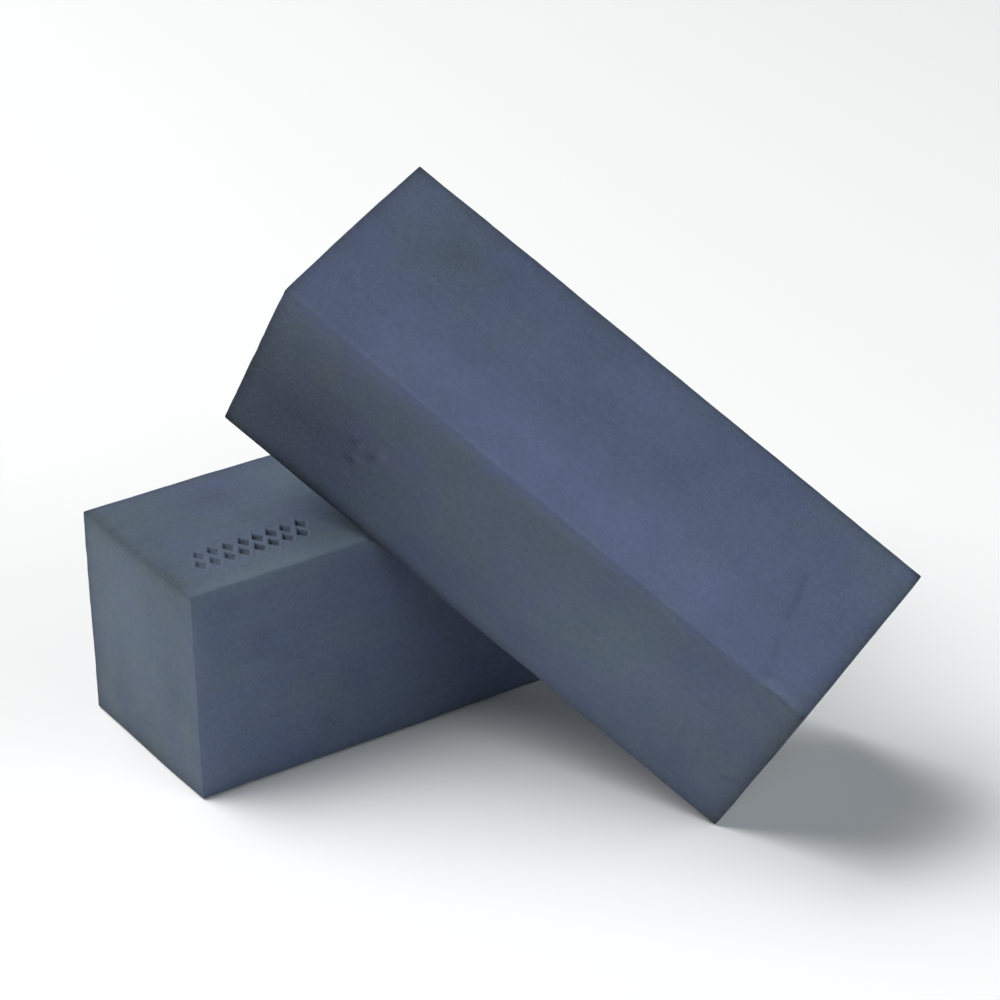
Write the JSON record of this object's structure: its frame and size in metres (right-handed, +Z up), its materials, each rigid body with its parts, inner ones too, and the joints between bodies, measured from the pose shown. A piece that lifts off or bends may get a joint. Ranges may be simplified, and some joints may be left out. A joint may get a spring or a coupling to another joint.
{
  "type": "clay bar",
  "caption": "Pair of oblong detailing clay bars with a pressed stamp, one lying flat and one leaning on it; kneaded by hand and wiped over wet car paint to lift grit.",
  "frame": {"origin": "centre of the lower bar's underside", "axes": "+X along the lower bar away from its stamped end, +Y across it towards its back, +Z up"},
  "size_m": [0.1, 0.1078, 0.0901],
  "materials": {
    "clay": "matte slate-blue putty, faintly mottled and gritty"
  },
  "bodies": {
    "lower": {"lower_bar": "clay"},
    "leaning": {"leaning_bar": "clay"}
  },
  "joints": [
    {"name": "leaning_bar_lift", "type": "slide", "parent": "lower", "child": "leaning", "axis": [0, 0, 1], "range_m": [0, 0.06]}
  ]
}
